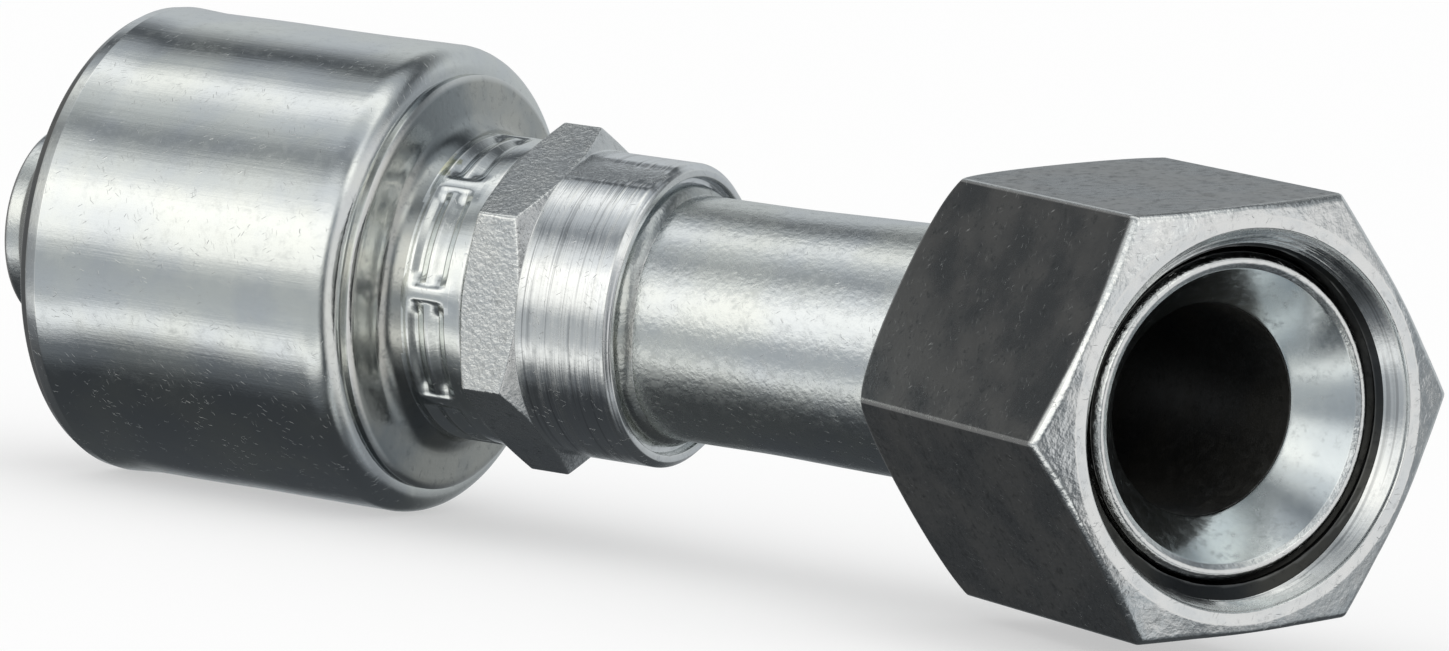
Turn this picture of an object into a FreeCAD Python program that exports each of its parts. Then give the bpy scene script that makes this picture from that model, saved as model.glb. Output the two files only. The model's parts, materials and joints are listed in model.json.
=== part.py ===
import FreeCAD, Part
import math
import os

# Crimp-on hydraulic hose coupling with a 30 degree bent tube and a 37 degree flared seat (3/4 in size).
# Millimetres. The hose-side axis is +X with its origin at the stem's open hose end, +Z is up, and the
# tube bends towards -Y. Parts beyond the bend are drawn along +X from the bend's corner, then turned.

# ---- bend and tube
CORNER_X = 90.2           # where the hose-side axis meets the nut's axis
BEND_ANGLE = 30.0
BEND_R = 28.6             # one and a half tube diameters
TUBE_R = 9.525
TUBE_BORE_R = 7.875
TANGENT = BEND_R * math.tan(math.radians(BEND_ANGLE / 2))

# ---- ferrule shell: a drawn cup, staked on the stem by its neck
RIM_X = 8.65
SHELL_R = 18.6
RIM_FACE_R = 18.3         # the rim's end face, below a shallow chamfer
RIM_BAND_R = 18.78        # the widest ring, where the cup flares a little at its mouth
RIM_CHAMFER = 1.8
RIM_FADE = 4.5            # from the rim to where the flare has faded out
SHELL_BORE_R = 16.6
LIP_R = 15.9
LIP_LENGTH = 1.8
SHOULDER_X = 35.15
RIDGE_X = 37.45
RIDGE_R = 17.1
NECK_X = 40.3
NECK_R = 11.95
NECK_BORE_R = 10.0
STAKE_X = 42.4            # middle of the staking groove under the neck
STAKE_HALF = 0.8
STAKE_DEPTH = 0.5
RIB_COUNT = 8
RIB_R = 12.3
RIB_WIDTH = 1.4
JAW_GROOVE_R = 11.6
JAW_GROOVE_WIDTH = 0.9
JAW_GROOVE_GAP = 0.7      # half the ridge left between the two pressed grooves
STAKE_RAMP = 0.2          # run of the staking groove's sloping sides
RIB_X = (NECK_X - 0.6, 44.5)

# ---- grip insert: a toothed ring, split to a C
INSERT_X = (RIM_X + LIP_LENGTH + 0.1, 33.5)
INSERT_R = 16.5
INSERT_BORE_R = 15.7
TOOTH_R = 15.1
TOOTH_COUNT = 7
INSERT_SLOT = 3.5

# ---- hose stem: barbed tail, hex and brazing collar in one turned piece
STEM_BORE_R = 7.1
TIP_R = 8.05
BARB_ROOT_R = 9.1
BARB_R = 9.75
BARB_START_X = 3.2
BARB_PITCH = 4.2
BARB_COUNT = 7
BARB_LAND = 0.5
HEX_X = 45.4              # end of the neck, start of the stem's hex
HEX_AF = 23.8
HEX_FACE_R = 11.7         # where the hex's end chamfers start
HEX_CORNER_X = (46.25, 49.6)
COLLAR_X = (50.45, 58.7)
COLLAR_R = 11.96
COLLAR_CHAMFER = 0.6
SOCKET_X = 50.3           # the tube's seat inside the collar
SOCKET_R = TUBE_R + 0.05
RECESS_R = 10.9
RECESS_DEPTH = 0.4
BRAZE_LENGTH = 1.2        # how far the fillet runs along the tube past the collar's face

# ---- flare, sleeve and nut, measured along the nut's axis from the bend's corner
FLARE_ANGLE = math.radians(37.0)
SEAT_ROOT_X = 21.6        # where the bore opens into the seat
SEAT_R = 11.1
FLARE_WALL = 1.6
FLARE_R = 12.17
SLEEVE_BORE_R = 10.0
SLEEVE_X = 8.4
SLEEVE_R = 11.05
SLEEVE_HEAD_R = 12.0
SLEEVE_HEAD_X = (19.6, 20.6)
SLEEVE_GAP = 0.25         # between the sleeve's cone and the back of the flare
NUT_FRONT_X = 27.97
NUT_LENGTH = 26.57
NUT_AF = 31.75
NUT_TURN = 22.4           # the hex's first corner, turned from +Z about the nut's axis
NUT_FACE_R = 15.1         # where the front chamfer starts
NUT_CHAMFER = 1.08        # how far the corners are set back from the front face
NUT_BACK_FACE_R = 15.6    # where the back face starts to round off
NUT_BACK_RUN = 2.88       # run of that rounding along the axis, out to the blank's edge
NUT_BACK_CROWN = 0.6      # and its bulge over a straight chamfer
NUT_BORE_R = 11.15
MOUTH_R = 14.2
MOUTH_DEPTH = 0.9
THREAD_PITCH = 25.4 / 12
THREAD_MINOR_R = 12.5
THREAD_MAJOR_R = 13.5
THREAD_TURNS = 5
RELIEF_R = 13.7
NUT_STEP_DEPTH = 16.4     # from the front face to the top of the inner shoulder

CROWN = 0.03              # bulge of the hexes' turned end chamfers

X_AXIS = FreeCAD.Vector(1, 0, 0)
Z_AXIS = FreeCAD.Vector(0, 0, 1)
ORIGIN = FreeCAD.Vector(0, 0, 0)


def at(x, r):
    """A point of a half section: x along the axis, r out from it."""
    return FreeCAD.Vector(x, 0, r)


def turned(start, *moves):
    """A solid of revolution about X. A move is a point, or a pair (point on the arc, end of the arc)."""
    edges = []
    here = at(*start)
    for move in moves + (start,):
        if isinstance(move[0], tuple):
            end = at(*move[1])
            edges.append(Part.Arc(here, at(*move[0]), end).toShape())
        else:
            end = at(*move)
            edges.append(Part.LineSegment(here, end).toShape())
        here = end
    return Part.Face(Part.Wire(edges)).revolve(ORIGIN, X_AXIS, 360)


def crowned(start, end, crown=CROWN):
    """A move for turned(): a chamfer cut with a crown, which bulges to the left of its run."""
    run = FreeCAD.Vector(end[0] - start[0], end[1] - start[1], 0)
    side = FreeCAD.Vector(-run.y, run.x, 0).normalize() * crown
    return ((start[0] + end[0]) / 2 + side.x, (start[1] + end[1]) / 2 + side.y), end


def hex_bar(across_flats, start_x, end_x, turn_degrees):
    """A hexagonal bar along X, with a corner turned from +Z."""
    corner_r = across_flats / math.sqrt(3)
    corners = []
    for k in range(7):
        angle = math.radians(turn_degrees + 60 * k)
        corners.append(FreeCAD.Vector(start_x, corner_r * math.sin(angle), corner_r * math.cos(angle)))
    return Part.Face(Part.makePolygon(corners)).extrude(FreeCAD.Vector(end_x - start_x, 0, 0))


def beyond_bend(shape):
    """Move a shape from its own straight axis to the nut's side of the bend."""
    placed = shape.copy()
    placed.rotate(ORIGIN, Z_AXIS, -BEND_ANGLE)
    placed.translate(FreeCAD.Vector(CORNER_X, 0, 0))
    return placed


def ferrule_shell():
    cup = turned(
        (RIM_X, LIP_R),
        (RIM_X, RIM_FACE_R),
        (RIM_X + RIM_CHAMFER, RIM_BAND_R),
        (RIM_X + RIM_FADE, SHELL_R),
        (SHOULDER_X, SHELL_R),
        ((RIDGE_X - 0.75, SHELL_R - 0.45), (RIDGE_X, RIDGE_R)),
        ((RIDGE_X + 0.9, 14.2), (NECK_X, NECK_R)),
        (HEX_X, NECK_R),
        (HEX_X, NECK_BORE_R),
        (STAKE_X + STAKE_HALF + STAKE_RAMP, NECK_BORE_R),
        (STAKE_X + STAKE_HALF, NECK_BORE_R - STAKE_DEPTH),
        (STAKE_X - STAKE_HALF, NECK_BORE_R - STAKE_DEPTH),
        (STAKE_X - STAKE_HALF - STAKE_RAMP, NECK_BORE_R),
        (NECK_X - 1.6, NECK_BORE_R),
        ((RIDGE_X - 1.1, 13.6), (RIDGE_X - 2.0, 15.6)),
        (SHOULDER_X - 1.0, SHELL_BORE_R),
        (RIM_X + LIP_LENGTH, SHELL_BORE_R),
        (RIM_X + LIP_LENGTH, LIP_R),
    )
    for side in (-1, 1):
        near = STAKE_X + side * JAW_GROOVE_GAP
        far = near + side * JAW_GROOVE_WIDTH
        cup = cup.cut(turned((near, JAW_GROOVE_R), (near, RIB_R), (far, RIB_R), (far, JAW_GROOVE_R)))
    rib_start, rib_end = RIB_X
    rib_length = rib_end - rib_start
    rib_foot = NECK_BORE_R + 1.0
    ring = turned((rib_start, rib_foot), (rib_start, RIB_R), (rib_end, RIB_R), (rib_end, rib_foot))
    for k in range(RIB_COUNT):
        bar = Part.makeBox(rib_length, RIB_WIDTH, RIB_R, FreeCAD.Vector(rib_start, -RIB_WIDTH / 2, 0))
        bar.rotate(ORIGIN, X_AXIS, 90 + 360 * k / RIB_COUNT)
        cup = cup.fuse(bar.common(ring))
    return cup.removeSplitter()


def grip_insert():
    start, end = INSERT_X
    pitch = (end - start) / TOOTH_COUNT
    teeth = []
    for k in range(TOOTH_COUNT, 0, -1):
        root = start + pitch * k
        teeth.append((root - 0.6, INSERT_BORE_R))
        teeth.append((root - 0.9, TOOTH_R))
        teeth.append((root - 1.3, TOOTH_R))
        teeth.append((root - pitch + 0.2, INSERT_BORE_R))
    ring = turned((start, INSERT_R), (end, INSERT_R), (end, INSERT_BORE_R), *teeth, (start, INSERT_BORE_R))
    slot = Part.makeBox(
        end - start + 2, INSERT_SLOT, INSERT_R + 1, FreeCAD.Vector(start - 1, -INSERT_SLOT / 2, -INSERT_R - 1)
    )
    return ring.cut(slot)


def hose_stem():
    tail = [(0, STEM_BORE_R), (0, TIP_R - 0.4), ((0.12, TIP_R - 0.12), (0.4, TIP_R)), (1.6, TIP_R)]
    tail.append((BARB_START_X, BARB_ROOT_R))
    for k in range(BARB_COUNT):
        root = BARB_START_X + BARB_PITCH * k
        tail.append((root + 0.6, BARB_ROOT_R))
        tail.append((root + BARB_PITCH - BARB_LAND - 0.3, BARB_R))
        tail.append((root + BARB_PITCH - 0.3, BARB_R))
        tail.append((root + BARB_PITCH, BARB_ROOT_R))
    tail_end = BARB_START_X + BARB_PITCH * BARB_COUNT
    body = turned(
        *tail,
        (tail_end + 1.0, BARB_ROOT_R),
        (tail_end + 1.0, BARB_R),
        (NECK_X - 2.5, BARB_R),
        (NECK_X - 2.5, NECK_BORE_R),
        (STAKE_X - STAKE_HALF - STAKE_RAMP, NECK_BORE_R),
        (STAKE_X - STAKE_HALF, NECK_BORE_R - STAKE_DEPTH),
        (STAKE_X + STAKE_HALF, NECK_BORE_R - STAKE_DEPTH),
        (STAKE_X + STAKE_HALF + STAKE_RAMP, NECK_BORE_R),
        (HEX_X, NECK_BORE_R),
        (HEX_X, COLLAR_R - 0.5),
        (COLLAR_X[0], COLLAR_R - 0.5),
        (COLLAR_X[0], COLLAR_R),
        (COLLAR_X[1] - COLLAR_CHAMFER, COLLAR_R),
        (COLLAR_X[1], COLLAR_R - COLLAR_CHAMFER),
        (COLLAR_X[1], RECESS_R),
        (COLLAR_X[1] - RECESS_DEPTH, RECESS_R),
        (COLLAR_X[1] - RECESS_DEPTH, SOCKET_R),
        (SOCKET_X, SOCKET_R),
        (SOCKET_X, STEM_BORE_R),
    )
    corner_r = HEX_AF / math.sqrt(3)
    hex_core_r = SOCKET_R + 1.0
    face = (HEX_X, HEX_FACE_R)
    corners = [(x, corner_r) for x in HEX_CORNER_X]
    shoulder = (COLLAR_X[0], COLLAR_R)
    chamfered = turned(
        (HEX_X, hex_core_r),
        face,
        crowned(face, corners[0]),
        corners[1],
        crowned(corners[1], shoulder),
        (COLLAR_X[0], hex_core_r),
    )
    hexagon = hex_bar(HEX_AF, HEX_X, COLLAR_X[0], 0).common(chamfered)
    return body.fuse(hexagon).removeSplitter()


def braze_fillet():
    floor_x = COLLAR_X[1] - RECESS_DEPTH
    return turned(
        (floor_x, TUBE_R),
        (floor_x, RECESS_R - 0.05),
        (COLLAR_X[1] - 0.1, RECESS_R - 0.05),
        ((COLLAR_X[1] + 0.35, TUBE_R + 0.45), (COLLAR_X[1] + BRAZE_LENGTH, TUBE_R)),
    )


def seat_x(r, offset=0.0):
    """Where the seat's cone, or the cone a wall's thickness outside it, reaches the radius r."""
    return SEAT_ROOT_X + (r - TUBE_BORE_R - offset / math.cos(FLARE_ANGLE)) / math.tan(FLARE_ANGLE)


def bent_tube():
    start_x = SOCKET_X
    tangent_x = CORNER_X - TANGENT
    straight = turned(
        (start_x, TUBE_BORE_R), (start_x, TUBE_R), (tangent_x, TUBE_R), (tangent_x, TUBE_BORE_R)
    )
    section = []
    for r in (TUBE_R, TUBE_BORE_R):
        section.append(Part.Wire(Part.makeCircle(r, FreeCAD.Vector(tangent_x, 0, 0), X_AXIS)))
    centre = FreeCAD.Vector(tangent_x, -BEND_R, 0)
    elbow = Part.makeFace(section, "Part::FaceMakerBullseye").revolve(centre, Z_AXIS, -BEND_ANGLE)
    flare_back = seat_x(TUBE_R, FLARE_WALL)
    lip_back = seat_x(FLARE_R, FLARE_WALL)
    lip_front = seat_x(SEAT_R)
    flared_end = turned(
        (TANGENT, TUBE_BORE_R),
        (TANGENT, TUBE_R),
        (flare_back, TUBE_R),
        (lip_back, FLARE_R),
        ((lip_front - 0.25, FLARE_R - 0.25), (lip_front, SEAT_R)),
        (SEAT_ROOT_X, TUBE_BORE_R),
    )
    return straight.fuse(elbow).fuse(beyond_bend(flared_end)).removeSplitter()


def thrust_sleeve():
    cone = FLARE_WALL + SLEEVE_GAP * math.sin(FLARE_ANGLE)
    return turned(
        (SLEEVE_X, SLEEVE_BORE_R),
        (SLEEVE_X, SLEEVE_R - 0.4),
        (SLEEVE_X + 0.4, SLEEVE_R),
        (SLEEVE_HEAD_X[0], SLEEVE_R),
        (SLEEVE_HEAD_X[1], SLEEVE_HEAD_R),
        (seat_x(SLEEVE_HEAD_R, cone), SLEEVE_HEAD_R),
        (seat_x(SLEEVE_BORE_R, cone), SLEEVE_BORE_R),
    )


def nut_thread():
    """Half section of the internal thread, from the mouth inwards, as V rings at the thread's pitch."""
    crest = THREAD_PITCH / 4
    flank = (THREAD_MAJOR_R - THREAD_MINOR_R) * math.tan(math.radians(30))
    root = THREAD_PITCH - crest - 2 * flank
    points = []
    x = NUT_FRONT_X - MOUTH_DEPTH - (MOUTH_R - THREAD_MAJOR_R)
    for _ in range(THREAD_TURNS):
        for radius, step in ((THREAD_MAJOR_R, flank), (THREAD_MINOR_R, crest),
                             (THREAD_MINOR_R, flank), (THREAD_MAJOR_R, root)):
            points.append((x, radius))
            x -= step
    points.append((x, THREAD_MAJOR_R))
    return points


def swivel_nut():
    back_x = NUT_FRONT_X - NUT_LENGTH
    corner_r = NUT_AF / math.sqrt(3)
    over = 0.4            # the blank is turned a little wider than the corners
    widened = (corner_r + over - NUT_FACE_R) / (corner_r - NUT_FACE_R)
    step_x = NUT_FRONT_X - NUT_STEP_DEPTH
    step_run = RELIEF_R - NUT_BORE_R
    back, front = (back_x, NUT_BACK_FACE_R), (NUT_FRONT_X, NUT_FACE_R)
    back_corner = (back_x + NUT_BACK_RUN, corner_r + over)
    front_corner = (NUT_FRONT_X - NUT_CHAMFER * widened, corner_r + over)
    thread = nut_thread()
    blank = turned(
        (back_x, NUT_BORE_R + 0.5),
        back,
        crowned(back, back_corner, NUT_BACK_CROWN),
        front_corner,
        crowned(front_corner, front),
        (NUT_FRONT_X, MOUTH_R),
        (thread[0][0] + (MOUTH_R - THREAD_MAJOR_R), MOUTH_R),
        *thread,
        (thread[-1][0], RELIEF_R),
        (step_x + step_run, RELIEF_R),
        (step_x, NUT_BORE_R),
        (back_x + 0.5, NUT_BORE_R),
    )
    return blank.common(hex_bar(NUT_AF, back_x - 1, NUT_FRONT_X + 1, NUT_TURN))


PARTS = {
    "ferrule_shell": ferrule_shell,
    "grip_insert": grip_insert,
    "hose_stem": hose_stem,
    "braze_fillet": braze_fillet,
    "bent_tube": bent_tube,
    "thrust_sleeve": lambda: beyond_bend(thrust_sleeve()),
    "swivel_nut": lambda: beyond_bend(swivel_nut()),
}

os.makedirs("parts", exist_ok=True)
for node, make in PARTS.items():
    shape = make()
    if not shape.isValid() or shape.Volume <= 0 or len(shape.Solids) != 1:
        raise ValueError(f"{node} is not one valid solid")
    box = shape.BoundBox
    print(f"{node}: volume {shape.Volume:.1f} mm3, X {box.XMin:.2f} to {box.XMax:.2f}, "
          f"Y {box.YMin:.2f} to {box.YMax:.2f}, Z {box.ZMin:.2f} to {box.ZMax:.2f}")
    shape.Solids[0].exportStep(f"parts/{node}.step")
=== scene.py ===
import json
import math

import bmesh
import bpy
import numpy as np
from mathutils import Matrix, Vector, noise


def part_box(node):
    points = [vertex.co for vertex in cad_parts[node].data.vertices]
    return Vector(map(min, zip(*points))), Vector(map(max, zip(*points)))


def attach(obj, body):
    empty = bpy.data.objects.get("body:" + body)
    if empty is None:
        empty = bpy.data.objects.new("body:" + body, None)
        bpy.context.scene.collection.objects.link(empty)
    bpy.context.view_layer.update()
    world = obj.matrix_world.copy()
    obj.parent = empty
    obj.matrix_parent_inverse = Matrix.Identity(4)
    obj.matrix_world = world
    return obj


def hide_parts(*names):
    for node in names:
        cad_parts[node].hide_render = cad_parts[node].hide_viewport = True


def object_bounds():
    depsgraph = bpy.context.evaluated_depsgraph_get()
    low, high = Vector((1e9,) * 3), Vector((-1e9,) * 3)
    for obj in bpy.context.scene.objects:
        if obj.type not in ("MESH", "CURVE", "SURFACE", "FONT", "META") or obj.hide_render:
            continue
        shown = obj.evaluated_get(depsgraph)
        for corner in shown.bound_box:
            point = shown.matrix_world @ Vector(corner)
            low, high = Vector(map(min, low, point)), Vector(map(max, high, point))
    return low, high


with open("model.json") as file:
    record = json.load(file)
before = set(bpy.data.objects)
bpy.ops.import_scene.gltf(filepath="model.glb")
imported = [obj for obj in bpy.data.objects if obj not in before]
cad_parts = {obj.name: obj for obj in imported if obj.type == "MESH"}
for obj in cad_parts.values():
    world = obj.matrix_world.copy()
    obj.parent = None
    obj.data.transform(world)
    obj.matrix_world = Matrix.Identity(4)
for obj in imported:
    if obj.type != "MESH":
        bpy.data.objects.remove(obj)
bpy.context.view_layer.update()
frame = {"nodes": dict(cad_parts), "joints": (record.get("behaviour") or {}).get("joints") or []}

# A crimp-on hydraulic hose coupling: ferrule shell, barbed stem, bent tube and a loose swivel nut.
# Shapes are worked out in millimetres. Each piece is a half section carried round its own X axis.

MM = 0.001
swivel = next(j for j in frame["joints"] if j["name"] == "nut_swivel")
CORNER_X = swivel["pos_m"][0] / MM
BEND = math.atan2(-swivel["axis"][1], swivel["axis"][0])
BEND_R = 28.6
TANGENT = BEND_R * math.tan(BEND / 2)
RIM_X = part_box("ferrule_shell")[0].x / MM
HEX_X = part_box("ferrule_shell")[1].x / MM
BAND_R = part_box("ferrule_shell")[1].z / MM
COLLAR_END_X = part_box("hose_stem")[1].x / MM
TUBE_START_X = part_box("bent_tube")[0].x / MM
BEYOND_BEND = Matrix.Translation((CORNER_X * MM, 0, 0)) @ Matrix.Rotation(-BEND, 4, "Z")

TUBE_R = 9.525
TUBE_SKIN_R = TUBE_R + 0.05
TUBE_BORE_R = 7.875
FILLET_STEPS = 4
SUPPORT = 0.2             # distance of the extra loop that keeps a fillet's shading to itself
SHARP_FROM = math.radians(38)


# ---------------------------------------------------------------- half sections

def bend_points(before, here, after, fillet):
    """The points that round one corner: an arc with an extra point on the straight at each end."""
    to_before, to_after = before - here, after - here
    len_before, len_after = np.linalg.norm(to_before), np.linalg.norm(to_after)
    to_before, to_after = to_before / len_before, to_after / len_after
    half = math.acos(np.clip(to_before @ to_after, -1, 1)) / 2
    if math.pi / 2 - half < 0.01:         # no corner to round: the same number of points along the line
        span = 0.3 * min(len_before, len_after)
        spread = [step / (FILLET_STEPS + 2) * 2 - 1 for step in range(FILLET_STEPS + 3)]
        return [here + to_after * span * along for along in spread]
    reach = min(fillet / math.tan(half), 0.4 * len_before, 0.4 * len_after)
    radius = reach * math.tan(half)
    middle = to_before + to_after
    centre = here + middle / np.linalg.norm(middle) * radius / math.sin(half)
    start = here + to_before * reach - centre
    end = here + to_after * reach - centre
    turn = math.atan2(start[0] * end[1] - start[1] * end[0], start @ end)
    points = [here + to_before * min(reach + SUPPORT, 0.48 * len_before)]
    for step in range(FILLET_STEPS + 1):
        c, s = math.cos(turn * step / FILLET_STEPS), math.sin(turn * step / FILLET_STEPS)
        points.append(centre + (c * start[0] - s * start[1], s * start[0] + c * start[1]))
    points.append(here + to_after * min(reach + SUPPORT, 0.48 * len_after))
    return points


def rounded(corners):
    """Points of a closed half section from corners (x, r, fillet, pieces up to the next corner)."""
    spots = [np.array(c[:2], float) for c in corners]
    count = len(corners)
    groups = []
    for k, (_, _, fillet, _) in enumerate(corners):
        if fillet:
            groups.append(bend_points(spots[k - 1], spots[k], spots[(k + 1) % count], fillet))
        else:
            groups.append([spots[k]])
    points = []
    for k, group in enumerate(groups):
        points += group
        start, end = group[-1], groups[(k + 1) % count][0]
        pieces = corners[k][3]
        points += [start + (end - start) * step / pieces for step in range(1, pieces)]
    return np.array(points)


def curve(x0, r0, x1, r1, sag, steps):
    """Corners along a bowed line between two points, both included; sag is to the left of its run."""
    run = np.array((x1 - x0, r1 - r0))
    side = np.array((-run[1], run[0])) / np.linalg.norm(run)
    out = []
    for k in range(steps + 1):
        t = k / steps
        x, r = np.array((x0, r0)) + run * t + side * sag * 4 * t * (1 - t)
        out.append((x, r, 0, 1))
    return out


def smooth(low, high, value):
    """0 below low, 1 above high, and an S between them."""
    t = min(max((value - low) / (high - low), 0.0), 1.0)
    return t * t * (3 - 2 * t)


def off_axis(degrees, step, centre=0.0):
    """How far an angle is from the nearest of the marks that repeat every step degrees."""
    return abs((degrees - centre + step / 2) % step - step / 2)


# ---------------------------------------------------------------- meshes

def columns(step_degrees, centres=(), offsets=()):
    """Angles all the way round, with a denser set about each centre, in degrees."""
    angles = np.arange(0, 360, step_degrees)
    if centres:
        reach = max(offsets) + 0.4 * step_degrees
        angles = [a for a in angles if all(off_axis(a, 360, c) > reach for c in centres)]
        for c in centres:
            angles += [(c + s * o) % 360 for o in offsets for s in ((1,) if o == 0 else (1, -1))]
    return sorted(angles)


def hex_radius(degrees, across_flats, corner, edge):
    """Radius of a hexagon whose corners are rounded by edge, with one corner at that angle."""
    inner = across_flats / 2
    from_corner = math.radians(off_axis(degrees, 60, corner))
    from_flat = math.radians(30) - from_corner
    if inner * math.tan(from_flat) <= (inner - edge) * math.tan(math.radians(30)):
        return inner / math.cos(from_flat)
    centre = (inner - edge) / math.cos(math.radians(30))
    return centre * math.cos(from_corner) + math.sqrt(edge ** 2 - (centre * math.sin(from_corner)) ** 2)


def wrap(name, angles, section, warp=None):
    """A mesh with section(degrees) at each angle round X. warp(points) may move the finished points."""
    grid = []
    for degrees in angles:
        row = section(degrees)
        turn = math.radians(degrees)
        grid.append(np.stack((row[:, 0], row[:, 1] * math.sin(turn), row[:, 1] * math.cos(turn)), 1))
    grid = np.array(grid)
    around, along = grid.shape[:2]
    points = grid.reshape(-1, 3)
    if warp:
        points = warp(points)
    faces = []
    for i in range(around):
        here, there = i * along, (i + 1) % around * along
        for k in range(along):
            last = (k + 1) % along
            faces.append((here + k, there + k, there + last, here + last))
    mesh = bpy.data.meshes.new(name)
    mesh.from_pydata((points * MM).tolist(), [], faces)
    finish_mesh(mesh)
    piece = bpy.data.objects.new(name, mesh)
    bpy.context.scene.collection.objects.link(piece)
    weighted = piece.modifiers.new("even_shading", "WEIGHTED_NORMAL")
    weighted.keep_sharp = True
    return piece


def finish_mesh(mesh):
    """Smooth shading, outward faces, and a value of 1 on tight convex edges, used to brighten them as rubbed
    wear and partly as a painted highlight.
    """
    bm = bmesh.new()
    bm.from_mesh(mesh)
    bmesh.ops.recalc_face_normals(bm, faces=bm.faces)
    wear_and_highlight = bm.verts.layers.float.new("wear_and_highlight")
    for edge in bm.edges:
        if len(edge.link_faces) != 2:
            continue
        a, b = edge.link_faces
        apart = (a.calc_center_median() - b.calc_center_median()).length / MM
        curved = edge.calc_face_angle_signed(0.0) / max(apart, 0.02)
        value = smooth(0.6, 1.6, curved)
        for vert in edge.verts:
            vert[wear_and_highlight] = max(vert[wear_and_highlight], value)
    for face in bm.faces:
        face.smooth = True
    bm.to_mesh(mesh)
    bm.free()
    mesh.set_sharp_from_angle(angle=SHARP_FROM)


def wobble(points, size, depth, seed):
    """Moves points out from the X axis by a soft noise of that size and depth, in millimetres."""
    moved = points.copy()
    for p in moved:
        shift = depth * noise.noise(Vector(p / size) + Vector((seed, 2.3 * seed, -seed)))
        r = math.hypot(p[1], p[2])
        p[1:] *= (r + shift) / r
    return moved


# ---------------------------------------------------------------- shapes

RIB_STEP = 45.0
RIB_HALF = 2.6            # degrees
BAR_HALF = 4.6            # of the crossbar at each end of a rib
NECK_R = 12.0
NECK_BORE_R = 10.1
RIM_RING_X = RIM_X + 1.8  # the widest ring, behind the open end
SHELL_R = 18.6
SHELL_BORE_R = 16.6
LIP_R = 15.9
SHOULDER_X = 35.0
RIDGE = (37.45, 17.1)
NECK_X = 40.3
HOLLOW_R = 2.0            # of the hollow between the ridge and the neck
RIM_CHAMFER = 0.85        # length of the duller chamfer at the open end, coloured darker as painted shade


def hollow(foot_x, foot_r, radius, start, end, steps):
    """Corners down a hollow of that radius to its foot. Its face turns from start to end degrees off X."""
    def facing(degrees):
        return np.array((math.cos(math.radians(degrees)), math.sin(math.radians(degrees))))
    centre = np.array((foot_x, foot_r)) + radius * facing(end)
    spots = [centre - radius * facing(start + (end - start) * k / steps) for k in range(steps + 1)]
    return [(x, r, 0, 1) for x, r in spots]


def shell_section(degrees):
    rib = 1 - smooth(RIB_HALF - 1.2, RIB_HALF + 1.2, off_axis(degrees, RIB_STEP))
    groove = smooth(RIB_HALF - 0.6, RIB_HALF + 6.5, off_axis(degrees, RIB_STEP))
    cross = 1 - smooth(BAR_HALF - 3.2, BAR_HALF + 3.2, off_axis(degrees, RIB_STEP))
    bar = NECK_R + 0.04 + 0.09 * cross
    end_bar = NECK_R - 0.04 + 0.13 * cross
    low = NECK_R - 0.42 * groove + 0.13 * rib
    ridge = NECK_R - 0.04 + 0.17 * rib
    corners = [
        (RIM_X, LIP_R, 0.2, 2),
        (RIM_X, BAND_R - 0.58, 0.4, 2),
        (RIM_X + RIM_CHAMFER, BAND_R - 0.12, 0.15, 2),
        (RIM_RING_X, BAND_R, 0.5, 2),
        (RIM_X + 4.5, SHELL_R, 0, 24),
    ]
    corners += curve(SHOULDER_X, SHELL_R, RIDGE[0], RIDGE[1], 0.52, 9)
    corners += [(RIDGE[0] + 0.02, RIDGE[1] - 0.6, 0, 1), (RIDGE[0] + 0.3, RIDGE[1] - 0.66, 0, 1)]
    corners += [(RIDGE[0] + 0.52, RIDGE[1] - 0.62, 0, 1), (RIDGE[0] + 0.7, RIDGE[1] - 0.85, 0, 1)]
    corners += [(RIDGE[0] + 0.8, RIDGE[1] - 1.15, 0, 6)]
    corners += hollow(NECK_X - 0.12, NECK_R + 0.06, HOLLOW_R, 14, 80, 12)
    corners += [
        (NECK_X + 0.08, bar, 0.2, 1),
        (NECK_X + 0.42, bar, 0.2, 1),
        (NECK_X + 0.98, low, 0.4, 1),
        (NECK_X + 1.28, low, 0.4, 1),
        (NECK_X + 1.9, ridge, 0.3, 1),
        (NECK_X + 2.2, ridge, 0.3, 1),
        (NECK_X + 2.82, low, 0.4, 1),
        (NECK_X + 3.12, low, 0.4, 1),
        (NECK_X + 3.75, end_bar, 0.2, 1),
        (NECK_X + 4.1, end_bar, 0.2, 1),
        (NECK_X + 4.5, NECK_R - 0.05, 0.15, 1),
        (HEX_X, NECK_R - 0.1, 0.1, 1),
        (HEX_X, NECK_BORE_R, 0, 1),
        (NECK_X - 1.6, NECK_BORE_R, 0, 2),
        (RIDGE[0] - 2.0, 15.6, 0, 2),
        (SHOULDER_X - 1.0, SHELL_BORE_R, 0, 4),
        (RIM_RING_X, SHELL_BORE_R, 0, 1),
        (RIM_RING_X, LIP_R, 0, 1),
    ]
    return rounded(corners)


HEX_AF = 23.8
HEX_FACE_R = 11.7
HEX_LEFT_SLOPE = 0.85 / 2.04      # how fast the end chamfers run along X for each millimetre out
HEX_RIGHT_SLOPE = 0.85 / 1.78
COLLAR_X = 50.45
COLLAR_R = 11.96
STEM_BORE_R = 7.1
TIP_R = 8.05
STEM_NECK_R = 10.0        # where the shell's neck is staked on
BARB_ROOT_R = 9.1
BARB_R = 9.75
BARB_PITCH = 4.2
BARB_COUNT = 7
BARB_START_X = 3.2
RECESS_R = 10.9
RECESS_X = COLLAR_END_X - 0.8
UNTURNED = 337.0          # degrees from +Z: where the collar's cut missed the forged skin


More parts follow.
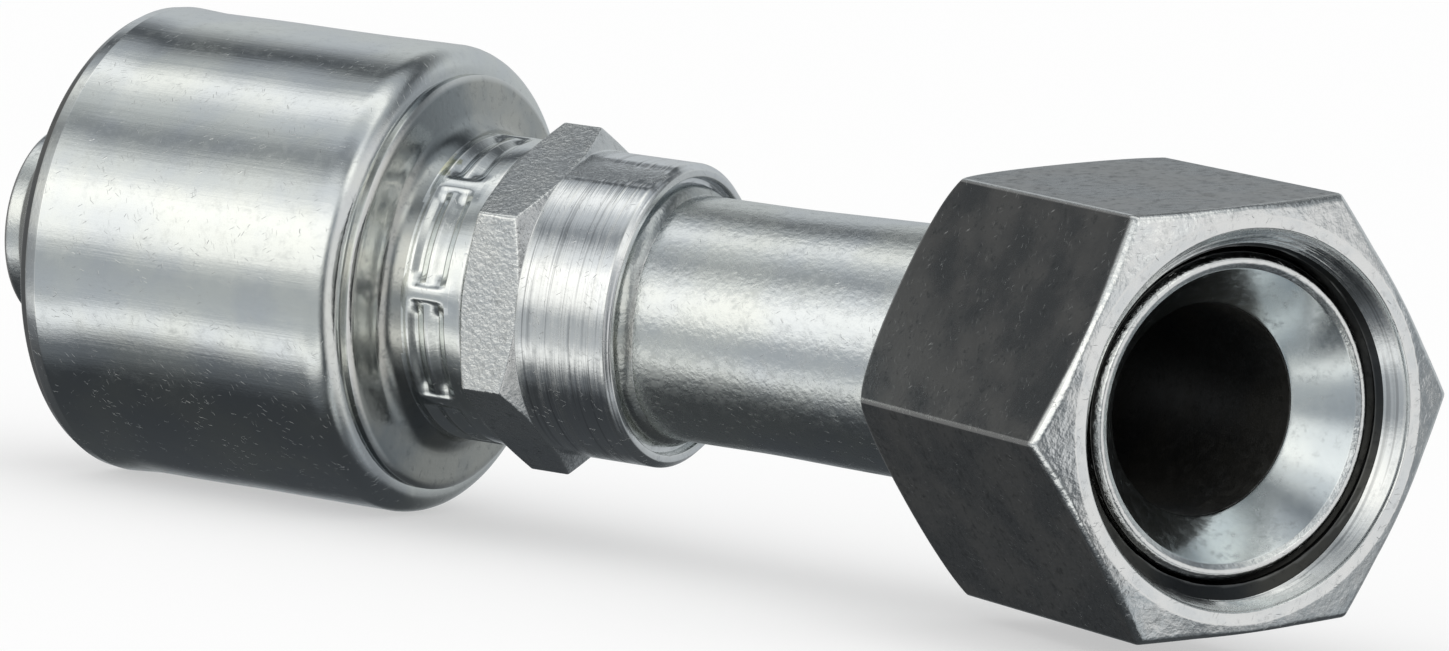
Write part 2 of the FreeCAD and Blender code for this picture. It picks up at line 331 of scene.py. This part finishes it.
def stem_section(degrees):
    flat = hex_radius(degrees, HEX_AF, 0, 0.35)
    left_r = min(flat - 0.05, HEX_FACE_R)
    left_x = HEX_X + (flat - HEX_FACE_R) * HEX_LEFT_SLOPE
    right_x = COLLAR_X - max(flat - COLLAR_R, 0.0) * HEX_RIGHT_SLOPE - 0.03
    low_side = 1 - smooth(6, 11, off_axis(degrees, 360, UNTURNED))
    collar_r = COLLAR_R - 0.13 * low_side
    corners = [(0, STEM_BORE_R, 0.1, 1), (0, TIP_R, 0.35, 1), (1.6, TIP_R, 0.4, 2)]
    corners += [(BARB_START_X, BARB_ROOT_R, 0.3, 1)]
    for k in range(BARB_COUNT):
        root = BARB_START_X + BARB_PITCH * k
        corners += [
            (root + 0.6, BARB_ROOT_R, 0.3, 2),
            (root + BARB_PITCH - 0.8, BARB_R, 0.15, 1),
            (root + BARB_PITCH - 0.3, BARB_R, 0.15, 1),
            (root + BARB_PITCH, BARB_ROOT_R, 0.1, 1),
        ]
    corners += [
        (HEX_X - 7, BARB_ROOT_R, 0, 1),
        (HEX_X - 6.9, STEM_NECK_R, 0, 1),
        (HEX_X, STEM_NECK_R, 0, 1),
        (HEX_X, left_r, 0.12, 1),
        (left_x, flat, 0.22, 4),
        (right_x, flat, 0.22, 1),
        (COLLAR_X, collar_r, 0.15, 10),
        (COLLAR_END_X - 0.55, collar_r, 0.3, 1),
        (COLLAR_END_X, COLLAR_R - 0.5, 0.15, 1),
        (COLLAR_END_X, RECESS_R, 0.12, 1),
        (RECESS_X, RECESS_R - 0.1, 0.1, 1),
        (RECESS_X, TUBE_R + 0.4, 0, 1),
        (TUBE_START_X, TUBE_R + 0.4, 0, 1),
        (TUBE_START_X, STEM_BORE_R, 0, 6),
    ]
    return rounded(corners)


def braze_section(degrees):
    ripple = 0.10 * math.sin(math.radians(3 * degrees)) + 0.06 * math.sin(math.radians(7 * degrees + 40))
    corners = [(COLLAR_END_X - 0.82, TUBE_R + 0.02, 0, 1), (COLLAR_END_X - 0.82, RECESS_R - 0.5, 0, 1)]
    corners += curve(
        COLLAR_END_X - 0.55, RECESS_R - 0.58, COLLAR_END_X + 0.65 + ripple, TUBE_R + 0.1, sag=0.16, steps=6
    )
    corners += [(COLLAR_END_X + 0.72 + ripple, TUBE_R + 0.02, 0, 1)]
    return rounded(corners)


FLARE = math.radians(37)
SEAT_ROOT_X = 21.6
SEAT_R = 11.1
FLARE_WALL = 1.6
FLARE_R = 12.17


def seat_x(r, offset=0.0):
    """Where the seat's cone, or one offset outwards by a wall, reaches radius r beyond the bend."""
    return SEAT_ROOT_X + (r - TUBE_BORE_R - offset / math.cos(FLARE)) / math.tan(FLARE)


def tube_section(degrees):
    start = TUBE_START_X
    straight = CORNER_X - TANGENT
    beyond = straight + BEND_R * BEND - TANGENT      # unbent x of the bend's corner, for the nut's side
    corners = [
        (start, TUBE_BORE_R, 0, 1),
        (start, TUBE_SKIN_R, 0, 30),
        (straight, TUBE_SKIN_R, 0, 24),
        (beyond + TANGENT, TUBE_SKIN_R, 0, 12),
        (beyond + seat_x(TUBE_SKIN_R, FLARE_WALL), TUBE_SKIN_R, 0.8, 3),
        (beyond + seat_x(FLARE_R, FLARE_WALL), FLARE_R, 0.3, 1),
        (beyond + seat_x(SEAT_R) - 0.5, FLARE_R, 0.45, 1),
        (beyond + seat_x(SEAT_R) + 0.12, SEAT_R + 0.45, 0.45, 1),
        (beyond + seat_x(SEAT_R) - 0.25, SEAT_R - 0.15, 0.2, 5),
        (beyond + SEAT_ROOT_X, TUBE_BORE_R, 0.5, 12),
        (beyond + TANGENT, TUBE_BORE_R, 0, 24),
        (straight, TUBE_BORE_R, 0, 20),
    ]
    return rounded(corners)


OVAL_HIGH = 0.030         # the bend makes the tube taller and a little narrower
OVAL_NARROW = 0.020
OVAL_FADE = 16.0


def bend_tube(points):
    """Carries a straight tube's points round the bend, with the slight oval that bending leaves."""
    out = wobble(points, 9.0, 0.05, 4.0)
    straight = CORNER_X - TANGENT
    length = BEND_R * BEND
    for p in out:
        u = p[0] - straight
        past = max(-u, u - length, 0.0)
        oval = 1 - smooth(0, OVAL_FADE, past)
        if u > length:
            oval = max(oval, 0.5) * (1 - smooth(seat_x(TUBE_R) - 6, seat_x(TUBE_R), u - length + TANGENT))
        p[1] *= 1 - OVAL_NARROW * oval
        p[2] *= 1 + OVAL_HIGH * oval
        if u <= 0:
            continue
        turn = min(u, length) / BEND_R
        side = BEND_R + p[1]
        x, y = straight + side * math.sin(turn), side * math.cos(turn) - BEND_R
        run = max(u - length, 0.0)
        p[0] = x + run * math.cos(BEND)
        p[1] = y - run * math.sin(BEND)
    return out


NUT_AF = 31.75
NUT_CORNER = 22.4         # degrees from +Z
NUT_FRONT_X = 27.97
NUT_LENGTH = 26.57
NUT_FACE_R = 15.1
NUT_SETBACK = 1.08
# Rounding of the nut's back corners: its centre's x from the back face, the centre's r, and its radius.
NUT_ROUND = (3.987, 14.823, 4.06)
NUT_BORE_R = 11.15
MOUTH_R = 14.2
MOUTH_DEPTH = 1.40        # how far in the lead-in cone reaches
THREAD_PITCH = 25.4 / 12
THREAD_MINOR_R = 12.5
THREAD_DEPTH = 1.0
THREAD_START = 1.6        # from the nut's front face
THREAD_LENGTH = 11.6
THREAD_SAMPLES = 130
RELIEF_R = 13.7
NUT_STEP_DEPTH = 16.4


def thread_radius(x, degrees):
    """Radius of the nut's thread: a flat-topped V that advances one pitch a turn."""
    phase = (x / THREAD_PITCH + degrees / 360) % 1.0
    ramp = abs(phase - 0.5) * 2
    return THREAD_MINOR_R + THREAD_DEPTH * min(max((ramp - 0.25) / 0.62, 0.0), 1.0)


def nut_back_x(r):
    """Where the rounding of the back end reaches radius r."""
    ahead, centre_r, radius = NUT_ROUND
    return NUT_FRONT_X - NUT_LENGTH + ahead - math.sqrt(radius ** 2 - (r - centre_r) ** 2)


def nut_section(degrees):
    back_x = NUT_FRONT_X - NUT_LENGTH
    corner_r = NUT_AF / math.sqrt(3)
    flat = hex_radius(degrees, NUT_AF, NUT_CORNER, 0.4)
    out = (flat - NUT_FACE_R) / (corner_r - NUT_FACE_R)
    mouth_in = NUT_FRONT_X - THREAD_START
    corners = [
        (back_x, NUT_BORE_R + 0.5, 0.2, 2),
        (back_x, NUT_FACE_R, 0, 1),
        *((nut_back_x(r), r, 0, 1) for r in (NUT_FACE_R + (flat - NUT_FACE_R) * k / 4 for k in (2, 3))),
        (nut_back_x(flat), flat, 0.3, 8),
        (NUT_FRONT_X - NUT_SETBACK * out, flat, 0.8, 2),
        (NUT_FRONT_X, NUT_FACE_R, 0.6, 1),
        (NUT_FRONT_X, MOUTH_R, 0.12, 1),
        (NUT_FRONT_X - 0.35, MOUTH_R - 0.12, 0.1, 1),
    ]
    for k in range(THREAD_SAMPLES + 1):
        x = mouth_in - THREAD_LENGTH * k / THREAD_SAMPLES
        lead_in = MOUTH_R - 0.35 - (mouth_in + 0.9 - x)
        corners.append((x, max(thread_radius(x, degrees), lead_in), 0, 1))
    end_x = mouth_in - THREAD_LENGTH
    step_x = NUT_FRONT_X - NUT_STEP_DEPTH
    corners += [
        (end_x - 0.15, RELIEF_R, 0, 1),
        (step_x + RELIEF_R - NUT_BORE_R, RELIEF_R, 0.2, 1),
        (step_x, NUT_BORE_R, 0.1, 2),
        (back_x + 0.5, NUT_BORE_R, 0.1, 1),
    ]
    return rounded(corners)


RIB_COLUMNS = [0, 1.2, 2.0, 2.5, 2.9, 3.3, 3.8, 4.4, 5.2, 6.0, 6.8, 7.6, 8.4]
CORNER_COLUMNS = [0, 0.25, 0.5, 0.75, 1.0, 1.3, 2.0]
ribs = [RIB_STEP * k for k in range(8)]
stem_corners = [60.0 * k for k in range(6)]
nut_corners = [NUT_CORNER + 60 * k for k in range(6)]

shell = wrap(
    "ferrule_shell_skin", columns(1.5, ribs, RIB_COLUMNS), shell_section, lambda p: wobble(p, 7.0, 0.07, 1.0)
)
stem = wrap("hose_stem_turned", columns(1.5, stem_corners, CORNER_COLUMNS), stem_section)
braze = wrap("braze_bead", columns(2.5), braze_section, lambda p: wobble(p, 1.2, 0.06, 9.0))
tube = wrap("bent_tube_drawn", columns(2.0), tube_section, bend_tube)
nut = wrap("swivel_nut_forged", columns(1.5, nut_corners, CORNER_COLUMNS), nut_section)
nut.matrix_world = BEYOND_BEND


# ---------------------------------------------------------------- materials

class Paint:
    """A node material being put together: one metallic shader and helpers that add nodes before it."""

    def __init__(self, name, roughness):
        self.material = bpy.data.materials.new(name)
        self.material.use_nodes = True
        self.tree = self.material.node_tree
        self.shader = self.tree.nodes["Principled BSDF"]
        self.shader.inputs["Metallic"].default_value = 1.0
        self.shader.inputs["Roughness"].default_value = roughness
        self.spot = self.node("ShaderNodeTexCoord").outputs["Object"]

    def node(self, kind, **settings):
        made = self.tree.nodes.new(kind)
        for key, value in settings.items():
            setattr(made, key, value)
        return made

    def join(self, value, socket):
        if isinstance(value, bpy.types.NodeSocket):
            self.tree.links.new(value, socket)
        else:
            socket.default_value = value

    def math(self, operation, *values, clamp=False):
        made = self.node("ShaderNodeMath", operation=operation, use_clamp=clamp)
        for value, socket in zip(values, made.inputs):
            self.join(value, socket)
        return made.outputs[0]

    def stretch(self, scale, turn=(0, 0, 0), shift=(0, 0, 0)):
        """Object coordinates in millimetres, turned, then scaled by axis."""
        turned = self.node("ShaderNodeMapping", vector_type="TEXTURE")
        self.join(self.spot, turned.inputs["Vector"])
        turned.inputs["Location"].default_value = shift
        turned.inputs["Rotation"].default_value = turn
        scaled = self.node("ShaderNodeVectorMath", operation="MULTIPLY")
        self.join(turned.outputs[0], scaled.inputs[0])
        scaled.inputs[1].default_value = [s / MM for s in scale]
        return scaled.outputs[0]

    def noise(self, where, scale=1.0, detail=3.0, rough=0.55, warp=0.0):
        made = self.node("ShaderNodeTexNoise")
        self.join(where, made.inputs["Vector"])
        made.inputs["Scale"].default_value = scale
        made.inputs["Detail"].default_value = detail
        made.inputs["Roughness"].default_value = rough
        made.inputs["Distortion"].default_value = warp
        return made.outputs["Fac"]

    def ramp(self, value, low, high, start=0.0, end=1.0):
        """Carries low..high to start..end, smoothly and clamped."""
        made = self.node("ShaderNodeMapRange", interpolation_type="SMOOTHSTEP")
        self.join(value, made.inputs["Value"])
        for key, number in (("From Min", low), ("From Max", high), ("To Min", start), ("To Max", end)):
            self.join(number, made.inputs[key])
        return made.outputs["Result"]

    def blend(self, amount, first, second):
        made = self.node("ShaderNodeMix", data_type="RGBA")
        self.join(amount, made.inputs["Factor"])
        for value, socket in ((first, made.inputs[6]), (second, made.inputs[7])):
            self.join(value if isinstance(value, bpy.types.NodeSocket) else (*value, 1.0), socket)
        return made.outputs[2]

    def scratches(self, count, length, width, keep):
        """Short straight marks in several directions, each a long thin cell near its own centre."""
        total = 0.0
        for k in range(count):
            turn = (0.9 * k, 0.4 + 1.7 * k, 2.4 * k + 0.3)
            where = self.stretch((1 / length, 1 / width, 1 / length), turn, (0.01 * k, 0, 0))
            cell = self.node("ShaderNodeTexVoronoi", feature="F1")
            self.join(where, cell.inputs["Vector"])
            cell.inputs["Scale"].default_value = 1.0
            near = self.ramp(cell.outputs["Distance"], 0.05, 0.12, 1.0, 0.0)
            chosen = self.node("ShaderNodeSeparateColor")
            self.join(cell.outputs["Color"], chosen.inputs[0])
            picked = self.math("LESS_THAN", chosen.outputs[0], keep)
            total = self.math("MAXIMUM", self.math("MULTIPLY", near, picked), total)
        return total

    def bump(self, height, depth, normal=None):
        """Adds relief of that depth in millimetres, over an earlier bump if there is one."""
        made = self.node("ShaderNodeBump")
        made.inputs["Strength"].default_value = 1.0
        made.inputs["Distance"].default_value = depth * MM
        self.join(height, made.inputs["Height"])
        if normal is not None:
            self.join(normal, made.inputs["Normal"])
        return made.outputs[0]

    def patch(self, centre, radius):
        """1 near a point given in millimetres, fading out with a ragged edge."""
        away = self.node("ShaderNodeVectorMath", operation="DISTANCE")
        self.join(self.stretch((1, 1, 1)), away.inputs[0])
        away.inputs[1].default_value = centre
        cloud = self.noise(self.stretch((0.9, 0.9, 0.9)), detail=4)
        ragged = self.ramp(cloud, 0.3, 0.7, 0.5, 1.4)
        distance = self.math("MULTIPLY", away.outputs["Value"], ragged)
        return self.ramp(distance, 0.4 * radius, radius, 0.75, 0.0)

    # The edge value from finish_mesh, which brightens edges as rubbed wear and partly as a painted
    # highlight.
    def wear_and_highlight(self):
        return self.node("ShaderNodeAttribute", attribute_name="wear_and_highlight").outputs["Fac"]

    def done(self, color, rough, normal):
        self.join(color, self.shader.inputs["Base Color"])
        self.join(rough, self.shader.inputs["Roughness"])
        self.join(normal, self.shader.inputs["Normal"])
        return self.material


COOL = (0.78, 0.81, 0.83)
WARM = (0.87, 0.89, 0.86)
BRIGHT = (0.92, 0.93, 0.92)
STAIN = ((40.0, -7.6, 10.4), 1.7)      # the brown spot by the neck: its place and its radius
STAIN_COLOR = (0.42, 0.42, 0.24)


def zinc(name, roughness, grain, grain_size, cool=COOL, warm=WARM, marks=0.0, rings=0.0,
         streaks=0.0, edge_wear_and_highlight=0.8, dirt=0.35, patches=0.10, stain=None):
    """Zinc plate on steel: cool and warm patches, a fine grain, and optional handling marks and tool rings.

    grain, marks, rings and streaks are depths in millimetres, and grain_size is a width. patches is how
    many patches there are in a millimetre. The edge brightening, which is rubbed wear and partly a painted
    highlight, and dirt run from 0 to 1.
    """
    p = Paint(name, roughness)
    broad = p.noise(p.stretch((patches,) * 3), detail=4)
    fine = p.noise(p.stretch((1 / grain_size,) * 3), detail=3, rough=0.6)
    specks = p.noise(p.stretch((1.1, 1.1, 1.1)), detail=6, rough=0.75)
    color = p.blend(p.ramp(broad, 0.38, 0.62), cool, warm)
    grime = tuple(0.5 * c for c in cool)
    color = p.blend(p.ramp(specks, 0.53, 0.66, 0.0, dirt), color, grime)
    if stain:
        color = p.blend(p.patch(*stain), color, STAIN_COLOR)
    rough = p.ramp(broad, 0.3, 0.7, roughness - 0.04, roughness + 0.04)
    rough = p.math("ADD", rough, p.ramp(specks, 0.42, 0.70, -0.03, 0.11))
    normal = p.bump(fine, grain)
    if streaks:
        drawn = p.noise(p.stretch((0.03, 1.3, 1.3)), detail=5, rough=0.7)
        normal = p.bump(drawn, streaks, normal)
    if rings:
        lines = p.noise(p.stretch((1.1, 0.015, 0.015)), detail=3, rough=0.8)
        normal = p.bump(lines, rings, normal)
        rough = p.math("ADD", rough, p.ramp(lines, 0.40, 0.60, -0.05, 0.10))
        color = p.blend(p.ramp(lines, 0.45, 0.38, 0.0, 0.65), color, grime)
        color = p.blend(p.ramp(lines, 0.54, 0.60, 0.0, 0.8), color, BRIGHT)
    if marks:
        scored = p.scratches(count=6, length=2.4, width=0.10, keep=0.27)
        normal = p.bump(scored, marks, normal)
        color = p.blend(p.math("MULTIPLY", scored, 0.5), color, BRIGHT)
        rough = p.math("ADD", rough, p.math("MULTIPLY", scored, 0.12))
    # Tight convex edges go brighter: rubbed wear, and partly a painted highlight along the edge.
    edge = p.math("MULTIPLY", p.wear_and_highlight(), edge_wear_and_highlight)
    color = p.blend(edge, color, BRIGHT)
    rough = p.math("ADD", rough, p.math("MULTIPLY", edge, -0.06), clamp=True)
    return p.done(color, rough, normal)


shell_plate = zinc("shell_zinc", 0.12, 0.005, 0.30, marks=0.013, streaks=0.010, dirt=0.06, stain=STAIN)
# The hollow between the ridge and the neck gets a darker zinc: painted shade for the recess.
hollow_shade_plate = zinc("shell_hollow_painted_shade", 0.13, 0.008, 0.40, cool=(0.40, 0.43, 0.44), warm=(0.58, 0.58, 0.54))
# The chamfer at the open end gets a darker zinc: painted shade for the dark band at the rim.
rim_shade_plate = zinc(
    "shell_rim_painted_shade", 0.20, 0.010, 0.40, cool=(0.36, 0.38, 0.39), warm=(0.50, 0.51, 0.50), edge_wear_and_highlight=1.0
)
stem_plate = zinc("stem_zinc", 0.24, 0.020, 0.30)
hex_plate = zinc(
    "stem_hex_zinc", 0.24, 0.080, 0.42, cool=(0.74, 0.76, 0.77), warm=(0.82, 0.83, 0.82), dirt=0.5
)
collar_plate = zinc(
    "collar_zinc", 0.14, 0.006, 0.30, cool=(0.88, 0.90, 0.92), warm=(0.94, 0.95, 0.94),
    rings=0.10, marks=0.02, dirt=0.15,
)
tube_plate = zinc("tube_zinc", 0.24, 0.036, 0.50, marks=0.010, dirt=0.2)
braze_plate = zinc("braze_zinc", 0.20, 0.030, 0.30, cool=(0.50, 0.53, 0.54), warm=(0.64, 0.65, 0.61))
seat_plate = zinc(
    "seat_zinc", 0.17, 0.004, 0.50, cool=(0.66, 0.71, 0.74), warm=(0.78, 0.82, 0.82), edge_wear_and_highlight=0.3, dirt=0.2
)
rim_plate = zinc(
    "flare_rim_zinc", 0.18, 0.050, 0.55, cool=(0.70, 0.73, 0.75), warm=(0.88, 0.90, 0.88),
    marks=0.03, dirt=0.4,
)
sleeve_plate = zinc("sleeve_zinc", 0.28, 0.010, 0.35)
insert_plate = zinc("insert_zinc", 0.34, 0.014, 0.35, cool=(0.55, 0.57, 0.58), warm=(0.62, 0.62, 0.58))
bore_plate = zinc("bore_zinc", 0.45, 0.012, 0.40, cool=(0.30, 0.31, 0.32), warm=(0.34, 0.33, 0.31))
nut_flats = zinc(
    "nut_flat_zinc", 0.30, 0.030, 0.45, cool=(0.21, 0.225, 0.235), warm=(0.315, 0.318, 0.315),
    marks=0.02, dirt=0.6, patches=0.16,
)
nut_face = zinc(
    "nut_face_zinc", 0.19, 0.085, 1.10, cool=(0.84, 0.87, 0.88), warm=(0.96, 0.97, 0.96),
    marks=0.04, dirt=0.3, patches=0.3,
)
nut_mouth = zinc(
    "nut_mouth_zinc", 0.18, 0.008, 0.30, cool=(0.80, 0.82, 0.83), warm=(0.88, 0.89, 0.88),
    rings=0.06, dirt=0.2,
)
# Near-black zinc inside the nut, behind its mouth: painted shade for the dark inside of the nut.
nut_inside_shade = zinc(
    "nut_thread_painted_shade", 0.34, 0.010, 0.30, cool=(0.04, 0.043, 0.046), warm=(0.07, 0.07, 0.065), edge_wear_and_highlight=0.1
)


def dress(piece, body, nodes, materials, choose=None):
    """Gives a piece its materials, chosen face by face where there are several, and its place."""
    for material in materials:
        piece.data.materials.append(material)
    if choose:
        for face in piece.data.polygons:
            face.material_index = choose(face.center / MM, face.normal)
    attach(piece, body)
    if nodes:
        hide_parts(*nodes)


def radius_of(spot):
    return math.hypot(spot.y, spot.z)


# Each of these picks a face's material, as its place in the piece's list, from the face's middle and normal.

def shell_zone(spot, normal):
    # Material 2, the darker rim zinc, is painted shade.
    if spot.x < RIM_X + RIM_CHAMFER - 0.02:
        return 2
    # Material 1, the darker hollow zinc, is painted shade.
    return 1 if RIDGE[0] + 0.02 < spot.x < NECK_X - 0.2 and radius_of(spot) > NECK_R + 0.1 else 0


def stem_zone(spot, normal):
    if radius_of(spot) < STEM_BORE_R + 0.05:
        return 3
    if HEX_X - 0.01 <= spot.x < COLLAR_X - 0.06:
        return 1
    if spot.x < COLLAR_X:
        return 0 if spot.x < HEX_X else 2
    degrees = math.degrees(math.atan2(spot.y, spot.z))
    ragged = 4.0 * noise.noise(Vector((spot.x * 1.3, degrees * 0.2, 0.0)))
    uncut = 10.0 - 0.8 * (spot.x - COLLAR_X) + ragged
    return 1 if off_axis(degrees, 360, UNTURNED) < uncut and radius_of(spot) > COLLAR_R - 0.3 else 2


def nut_zone(spot, normal):
    # Inside the nut behind the mouth, material 2 is the near-black zinc that paints shade.
    if radius_of(spot) < MOUTH_R - 0.02 and spot.x < NUT_FRONT_X - 0.02:
        return 3 if spot.x > NUT_FRONT_X - MOUTH_DEPTH else 2
    return 1 if normal.x > 0.45 else 0


def tube_zone(spot, normal):
    local = BEYOND_BEND.inverted() @ (Vector(spot) * MM) / MM
    if local.x > seat_x(TUBE_R + 0.3, FLARE_WALL):
        if radius_of(local) > SEAT_R - 0.1:
            return 3
        return 1 if radius_of(local) > TUBE_BORE_R + 0.12 or normal.dot(Vector(swivel["axis"])) > 0.3 else 2
    bend_x = CORNER_X - TANGENT
    if spot.x < bend_x:
        radius = radius_of(spot)
    elif local.x > TANGENT:
        radius = radius_of(local)
    else:
        radius = math.hypot(math.hypot(spot.x - bend_x, spot.y + BEND_R) - BEND_R, spot.z)
    return 2 if radius < TUBE_BORE_R + 0.4 else 0


shell_materials = [shell_plate, hollow_shade_plate, rim_shade_plate]
stem_materials = [stem_plate, hex_plate, collar_plate, bore_plate]
tube_materials = [tube_plate, seat_plate, bore_plate, rim_plate]
nut_materials = [nut_flats, nut_face, nut_inside_shade, nut_mouth]
dress(shell, "coupling", ["ferrule_shell"], shell_materials, shell_zone)
dress(stem, "coupling", ["hose_stem"], stem_materials, stem_zone)
dress(braze, "coupling", ["braze_fillet"], [braze_plate])
dress(tube, "coupling", ["bent_tube"], tube_materials, tube_zone)
dress(nut, "nut", ["swivel_nut"], nut_materials, nut_zone)

for node, material in (("grip_insert", insert_plate), ("thrust_sleeve", sleeve_plate)):
    plain = frame["nodes"][node]
    plain.data.materials.clear()
    plain.data.materials.append(material)


# ---------------------------------------------------------------- floor, light and camera

FLOOR_SIZE = 3.0          # metres from the middle to each side
FLOOR_GLOW = 0.48         # keeps the paper bright beside the object


def make_floor():
    size = FLOOR_SIZE
    mesh = bpy.data.meshes.new("floor")
    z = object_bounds()[0].z
    corners = [(-size, -size, z), (size, -size, z), (size, size, z), (-size, size, z)]
    mesh.from_pydata(corners, [], [(0, 1, 2, 3)])
    floor = bpy.data.objects.new("floor", mesh)
    bpy.context.scene.collection.objects.link(floor)
    paint = bpy.data.materials.new("floor_paper")
    paint.use_nodes = True
    shader = paint.node_tree.nodes["Principled BSDF"]
    shader.inputs["Base Color"].default_value = (0.50, 0.50, 0.50, 1)
    shader.inputs["Emission Color"].default_value = (1, 1, 1, 1)
    shader.inputs["Emission Strength"].default_value = FLOOR_GLOW
    shader.inputs["Roughness"].default_value = 1.0
    shader.inputs["Specular IOR Level"].default_value = 0.0
    mesh.materials.append(paint)
    floor.visible_glossy = False


# Brightness of the studio round the hose-side axis, as (degrees, brightness). The angle runs from the front,
# up over the top, to the back.
STUDIO = [
    (-180, 0.50), (-140, 0.06), (-70, 0.045), (-54, 0.15), (-38, 0.95), (-26, 0.48), (-10, 0.42),
    (6, 1.06), (24, 1.20), (38, 0.80), (56, 0.27), (72, 0.56), (90, 1.02), (104, 0.42), (120, 0.10),
    (145, 0.55), (180, 0.50),
]
# The same well round towards +X, as the nut's end sees it.
STUDIO_RIGHT = [
    (-180, 0.20), (-135, 0.36), (-100, 0.14), (-77, 0.50), (-55, 0.08), (-10, 0.14), (30, 0.36),
    (60, 1.10), (95, 0.42), (125, 0.20), (160, 0.32), (180, 0.20),
]
RIGHT_FROM = (0.45, 0.75)  # where along X one gives way to the other
FAR_RIGHT_FROM = (0.74, 0.92)
FAR_LEFT_FROM = (-0.60, -0.88)
FAR_LEFT = 0.18           # brightness towards -X
FAR_RIGHT = 0.72          # and straight along +X
FLOOR_LIGHT = 0.95        # even light from all round on the floor


def make_studio():
    world = bpy.data.worlds.new("studio")
    bpy.context.scene.world = world
    world.use_nodes = True
    tree = world.node_tree
    tree.nodes.clear()

    def node(kind, **settings):
        made = tree.nodes.new(kind)
        for key, value in settings.items():
            setattr(made, key, value)
        return made

    def calc(operation, a, b=0.0):
        made = node("ShaderNodeMath", operation=operation)
        for value, socket in ((a, made.inputs[0]), (b, made.inputs[1])):
            if isinstance(value, bpy.types.NodeSocket):
                tree.links.new(value, socket)
            else:
                socket.default_value = value
        return made.outputs[0]

    def mix(amount, first, second):
        made = node("ShaderNodeMix", data_type="RGBA")
        for value, socket in ((amount, made.inputs[0]), (first, made.inputs[6]), (second, made.inputs[7])):
            if isinstance(value, bpy.types.NodeSocket):
                tree.links.new(value, socket)
            else:
                socket.default_value = (value, value, value, 1)
        return made.outputs[2]

    way = node("ShaderNodeTexCoord").outputs["Generated"]
    parts = node("ShaderNodeSeparateXYZ")
    tree.links.new(way, parts.inputs[0])
    x, y, z = parts.outputs
    turn = calc("ARCTAN2", z, calc("MULTIPLY", y, -1.0))
    turn = calc("ADD", calc("DIVIDE", turn, 2 * math.pi), 0.5)

    def around(brightness):
        level = node("ShaderNodeValToRGB")
        level.color_ramp.interpolation = "EASE"
        tree.links.new(turn, level.inputs[0])
        stops = level.color_ramp.elements
        while len(stops) < len(brightness):
            stops.new(0.5)
        for stop, (angle, bright) in zip(stops, brightness):
            stop.position = angle / 360 + 0.5
            stop.color = (bright * (0.91 + 0.08 * bright), bright, bright * (1.08 - 0.10 * bright), 1)
        return level.outputs[0]

    def beyond(low, high):
        made = node("ShaderNodeMapRange", interpolation_type="SMOOTHSTEP")
        tree.links.new(x, made.inputs["Value"])
        made.inputs["From Min"].default_value = low
        made.inputs["From Max"].default_value = high
        return made.outputs["Result"]

    seen = mix(beyond(*RIGHT_FROM), around(STUDIO), around(STUDIO_RIGHT))
    seen = mix(beyond(*FAR_RIGHT_FROM), seen, FAR_RIGHT)
    seen = mix(beyond(*FAR_LEFT_FROM), seen, FAR_LEFT)
    rays = node("ShaderNodeLightPath").outputs
    seen = mix(rays["Is Diffuse Ray"], seen, FLOOR_LIGHT)
    seen = mix(rays["Is Camera Ray"], seen, 1.0)
    back = node("ShaderNodeBackground")
    tree.links.new(seen, back.inputs["Color"])
    out = node("ShaderNodeOutputWorld")
    tree.links.new(back.outputs[0], out.inputs["Surface"])


def make_overhead():
    """A broad soft lamp for the floor's shadow; the metal is lit by the studio round it."""
    lamp = bpy.data.lights.new("overhead", "SUN")
    lamp.angle = math.radians(80)
    lamp.energy = 0.25
    light = bpy.data.objects.new("overhead", lamp)
    light.location = (0.05, -0.1, 1.1)
    light.visible_glossy = False
    bpy.context.scene.collection.objects.link(light)


CAMERA_AZIMUTH = math.radians(29.02)
CAMERA_ELEVATION = math.radians(5.35)
CAMERA_ROLL = math.radians(5.55)
CAMERA_DISTANCE = 0.645
CAMERA_LENS = 211.2
CAMERA_LOOKS_AT = Vector((0.0687, -0.0117, 0.0010))


def make_camera():
    lens = bpy.data.cameras.new("camera")
    lens.lens = CAMERA_LENS
    lens.sensor_width = 36.0
    lens.clip_start = 0.01
    lens.clip_end = 20.0
    camera = bpy.data.objects.new("camera", lens)
    level = math.cos(CAMERA_ELEVATION)
    back = Vector((
        math.sin(CAMERA_AZIMUTH) * level, -math.cos(CAMERA_AZIMUTH) * level, math.sin(CAMERA_ELEVATION)
    ))
    facing = (-back).to_track_quat("-Z", "Y").to_matrix().to_4x4()
    roll = Matrix.Rotation(CAMERA_ROLL, 4, "Z")
    camera.matrix_world = Matrix.Translation(CAMERA_LOOKS_AT + back * CAMERA_DISTANCE) @ facing @ roll
    bpy.context.scene.collection.objects.link(camera)
    bpy.context.scene.camera = camera


make_floor()
make_studio()
make_overhead()
make_camera()
bpy.context.scene.view_settings.view_transform = "Standard"
